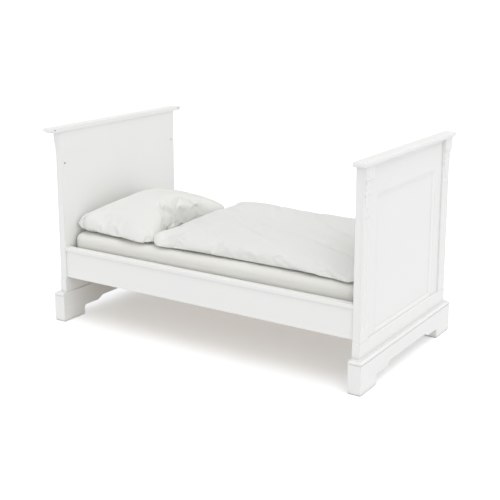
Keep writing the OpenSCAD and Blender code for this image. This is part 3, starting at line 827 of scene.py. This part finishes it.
def lay_duvet(points, low, high):
    """Lets the folded duvet settle: a ridge by the pillow, long creases and pinched sides."""
    _, soft, _ = settings()
    size, middle = high - low, (low + high) / 2
    mattress_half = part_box("mattress")[1].y
    roll = soft.mattress_roll
    creases = [
        ([(low.x + u * size.x, low.y + v * size.y) for u, v in path], depth, width)
        for path, depth, width in DUVET_CREASES]
    for p in points:
        u, v = (p.x - low.x) / size.x, (p.y - low.y) / size.y
        t = (p.z - low.z) / size.z
        top = ease((t - 0.35) / 0.4)
        wander = 0.022 * ripple(p, 6.0, 4.0)
        ridge = 0.24 * bell((u - 0.16) / 0.15) * (0.50 + 0.50 * v)
        level = 0.94 + ridge - 0.02 * u + 0.13 * ease((v - 0.45) / 0.35)
        drop = 0.0
        for path, depth, width in creases:
            reach, place = distance_to(path, p.x + wander, p.y - wander)
            fade = math.sin(math.pi * clamp(0.08 + 0.84 * place, 0, 1))
            bank = 0.35 * bell((reach - 2 * width) / width)
            drop += depth * fade * (bell(reach / width) - bank)
        soft_wave = 0.0025 * ripple(p, 8.0, 2.0) + 0.0012 * ripple(p, 19.0, 5.0)
        filled = clamp(t, 0, 1)
        full = size.z * (filled + (filled ** 0.62 - filled) * ease(filled / 0.5))
        over = clamp(abs(p.y - middle.y) - mattress_half + roll, 0, roll)
        droop = 0.9 * (roll - math.sqrt(roll * roll - over * over)) * (1 - t)
        p.z = low.z + full * level - top * (drop - soft_wave) - droop
        side = ease((abs(v - 0.5) - 0.44) / 0.06)
        fold = bell((t - 0.40 - 0.04 * ripple(p, 4.0)) / 0.10)
        pinch = 0.009 * fold * (0.45 + 0.55 * u)
        p.y += math.copysign(pinch * side, middle.y - p.y)


class BED_OT_make_duvet(bpy.types.Operator):
    """Puff up the folded duvet and lay it on the mattress"""

    bl_idname = "bed.make_duvet"
    bl_label = "Make duvet"

    def execute(self, context):
        _, soft, _ = settings()
        low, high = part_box("duvet")
        size = high - low
        pressure, corner = 3.0, 0.05
        start_share, roll_share = 0.8, 0.38
        start_high = Vector((high.x, high.y, low.z + size.z * start_share))
        points, faces = round_slab(low, start_high, size.z * roll_share, corner, soft.cloth_cell)
        material = cotton("duvet_cotton")
        piece = add_piece(
            "duvet_cover", points, faces, material, "duvet", ["duvet"])
        underside = low.z + 0.001
        held = {i: 1.0 for i, p in enumerate(points) if p.z < underside}
        points = blow_up(piece, pressure, soft.puff_frames, held, grow=soft.duvet_slack)
        points = fit_points([Vector(p) for p in points], low, high)
        lay_duvet(points, low, high)
        set_points(piece, points)
        subdivide(piece)
        return {"FINISHED"}


class BED_OT_set_stage(bpy.types.Operator):
    """Set up the camera, the lamps, the sky and the floor"""

    bl_idname = "bed.set_stage"
    bl_label = "Set stage"

    def execute(self, context):
        _, _, stage = settings()
        scene = context.scene
        scene.view_settings.view_transform = "Standard"
        camera = bpy.data.cameras.new("camera")
        camera.lens = stage.lens
        camera.shift_y = stage.shift
        viewer = bpy.data.objects.new("camera", camera)
        viewer.location = stage.camera_at
        viewer.rotation_euler = (math.pi / 2 - stage.pitch, 0, stage.yaw)
        scene.collection.objects.link(viewer)
        scene.camera = viewer
        add_lamp("broad_lamp", stage.lamp_from, stage.lamp)
        add_lamp("fill_lamp", stage.fill_from, stage.fill)
        add_sky(stage.sky)
        add_floor(stage.floor_glow)
        return {"FINISHED"}


def add_lamp(name, source, strength):
    """A broad soft lamp, far away, so that it lights the floor evenly."""
    lamp = bpy.data.lights.new(name, "SUN")
    lamp.energy = strength
    lamp.angle = math.radians(50)
    holder = bpy.data.objects.new(name, lamp)
    holder.rotation_euler = Vector(source).to_track_quat("Z", "Y").to_euler()
    bpy.context.scene.collection.objects.link(holder)


def add_sky(strength):
    """An even sky that lights the bed, and is plain white where the camera sees it."""
    world = bpy.data.worlds.new("sky")
    bpy.context.scene.world = world
    world.use_nodes = True
    tree = world.node_tree
    light = tree.nodes["Background"]
    light.inputs["Strength"].default_value = strength
    light.inputs["Color"].default_value = (1, 1, 1, 1)
    white = tree.nodes.new("ShaderNodeBackground")
    white.inputs["Color"].default_value = (1, 1, 1, 1)
    path = tree.nodes.new("ShaderNodeLightPath")
    either = tree.nodes.new("ShaderNodeMath")
    either.operation = "MAXIMUM"
    tree.links.new(path.outputs["Is Camera Ray"], either.inputs[0])
    tree.links.new(path.outputs["Is Glossy Ray"], either.inputs[1])
    choose = tree.nodes.new("ShaderNodeMixShader")
    tree.links.new(either.outputs[0], choose.inputs[0])
    tree.links.new(light.outputs[0], choose.inputs[1])
    tree.links.new(white.outputs[0], choose.inputs[2])
    tree.links.new(choose.outputs[0], tree.nodes["World Output"].inputs["Surface"])


def add_floor(glow):
    """A wide pale floor whose shadows show against white."""
    finish = Finish(
        "floor", Base_Color=(0.905, 0.915, 0.925, 1), Roughness=0.9, Emission_Strength=1.0)
    half = 60.0
    mesh = bpy.data.meshes.new("floor")
    corners = [(-half, -half, 0), (half, -half, 0), (half, half, 0), (-half, half, 0)]
    mesh.from_pydata(corners, [], [(0, 1, 2, 3)])
    mesh.materials.append(finish.material)
    floor = bpy.data.objects.new("floor", mesh)
    bpy.context.scene.collection.objects.link(floor)
    seen = finish.node("ShaderNodeLightPath", out="Is Camera Ray")
    finish.set(Emission_Color=seen * glow)


class BED_PT_maker(bpy.types.Panel):
    """Lists the bed's sizes, colours and operators"""

    bl_idname = "BED_PT_maker"
    bl_label = "Toddler Bed"
    bl_space_type = "VIEW_3D"
    bl_region_type = "UI"
    bl_category = "Bed"

    def draw(self, context):
        for group in settings():
            box = self.layout.box()
            for name in group.__annotations__:
                box.prop(group, name)
        for step in STEPS:
            self.layout.operator(step.bl_idname)


GROUPS = (
    ("bed_finish", BedFinishSettings),
    ("bed_bedding", BedBeddingSettings),
    ("bed_stage", BedStageSettings),
)
STEPS = (
    BED_OT_paint_frame, BED_OT_finish_base, BED_OT_carve_leaves, BED_OT_make_mattress,
    BED_OT_make_pillow, BED_OT_make_duvet, BED_OT_set_stage,
)


def register():
    for name, group in GROUPS:
        bpy.utils.register_class(group)
        setattr(bpy.types.Scene, name, PointerProperty(type=group))
    for kind in (*STEPS, BED_PT_maker):
        bpy.utils.register_class(kind)


def unregister():
    for kind in (BED_PT_maker, *reversed(STEPS)):
        bpy.utils.unregister_class(kind)
    for name, group in reversed(GROUPS):
        delattr(bpy.types.Scene, name)
        bpy.utils.unregister_class(group)


def main():
    """Makes the whole bed."""
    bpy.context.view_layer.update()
    register()
    for step in STEPS:
        group, name = step.bl_idname.split(".")
        getattr(getattr(bpy.ops, group), name)()


if __name__ == "__main__":
    main()
